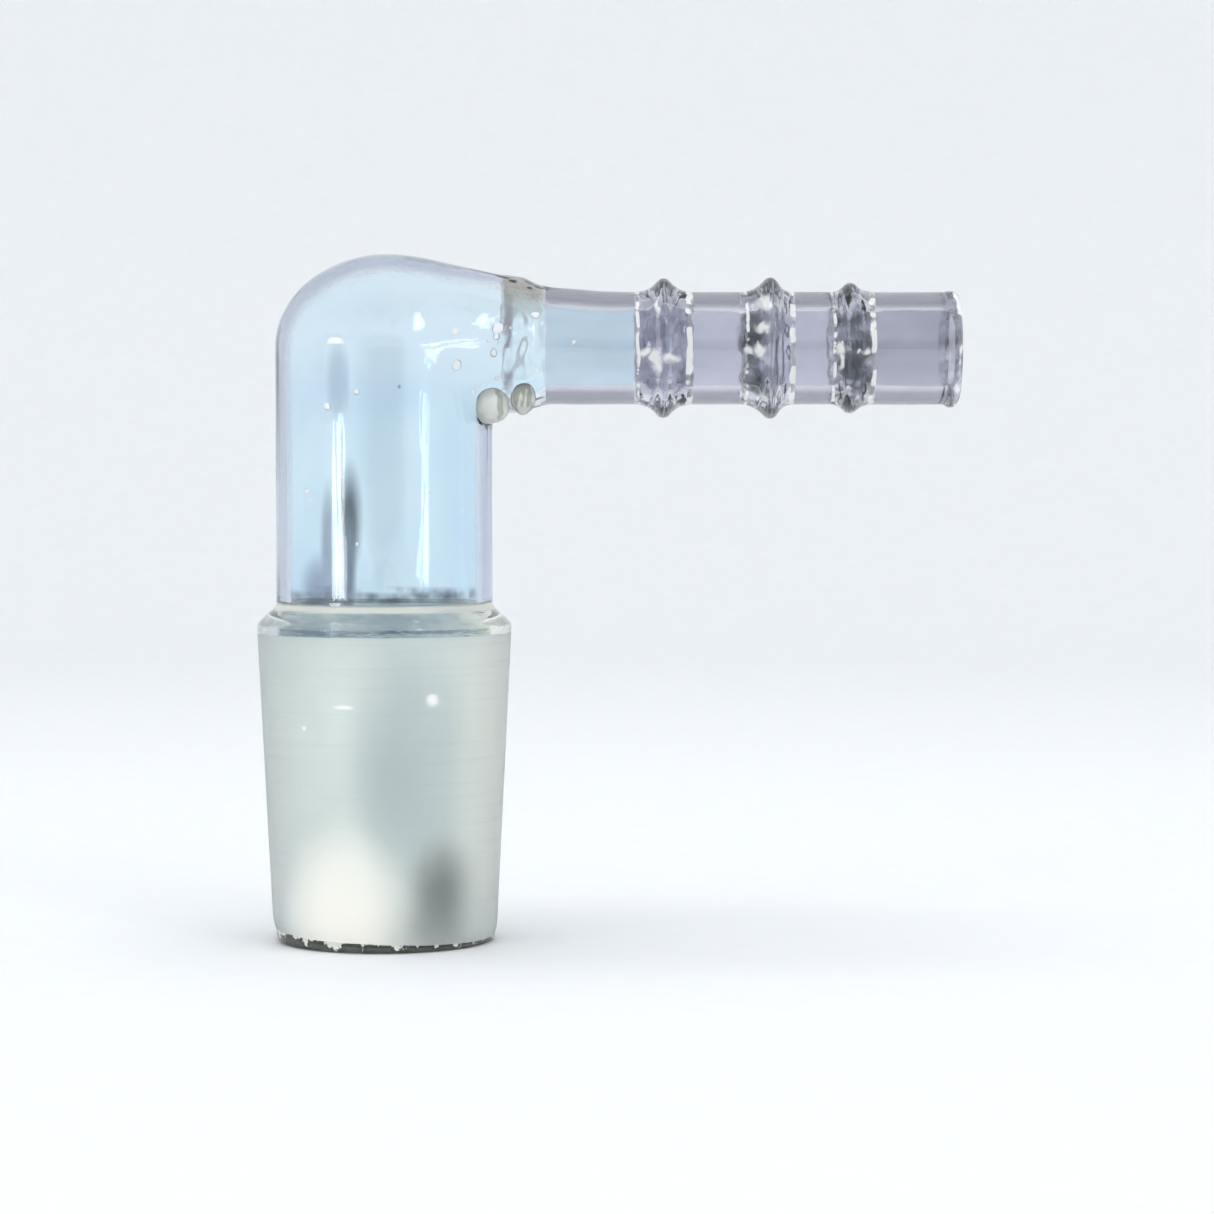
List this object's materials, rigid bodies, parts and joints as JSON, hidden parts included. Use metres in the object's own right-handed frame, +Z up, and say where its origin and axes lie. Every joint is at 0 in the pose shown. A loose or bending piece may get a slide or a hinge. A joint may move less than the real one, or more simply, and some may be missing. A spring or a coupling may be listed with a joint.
{
  "type": "glass hose adapter",
  "caption": "Right-angle glass hose adapter: frosted ground taper cone, clear domed body tube and a ridged hose arm welded to its side.",
  "frame": {"origin": "centre of the cone's lower end face, on the cone's axis", "axes": "+Z up along the cone and body tube towards the domed end; +X along the side arm towards its open tip; +Y completes the frame"},
  "size_m": [0.0519, 0.0188, 0.0507],
  "materials": {
    "body_glass": "clear borosilicate, blown and drawn, smooth with faint draw lines",
    "arm_glass": "clear borosilicate tubing, smooth, faint cool grey cast",
    "ridge_glass": "clear borosilicate, flame-worked ridges with slight unevenness",
    "weld_glass": "clear flame weld with fine wrinkles and seed bubbles",
    "bead_glass": "clear drops of spare weld glass",
    "ground_glass": "fine ground, frosted, translucent white with faint turning marks",
    "polished_rim": "fire-polished clear edge below the ground zone",
    "polished_tip": "fire-polished clear tube end"
  },
  "bodies": {
    "root": {"cone_rim": "polished_rim", "ground_cone": "ground_glass", "cone_shoulder": "body_glass", "body_tube": "body_glass", "elbow_bend": "body_glass", "arm_seal": "weld_glass", "weld_bead_1": "bead_glass", "weld_bead_2": "bead_glass", "arm_root": "arm_glass", "hose_ridge_1": "ridge_glass", "arm_span_1": "arm_glass", "hose_ridge_2": "ridge_glass", "arm_span_2": "arm_glass", "hose_ridge_3": "ridge_glass", "arm_tip": "arm_glass", "tip_lip": "polished_tip"}
  },
  "joints": []
}
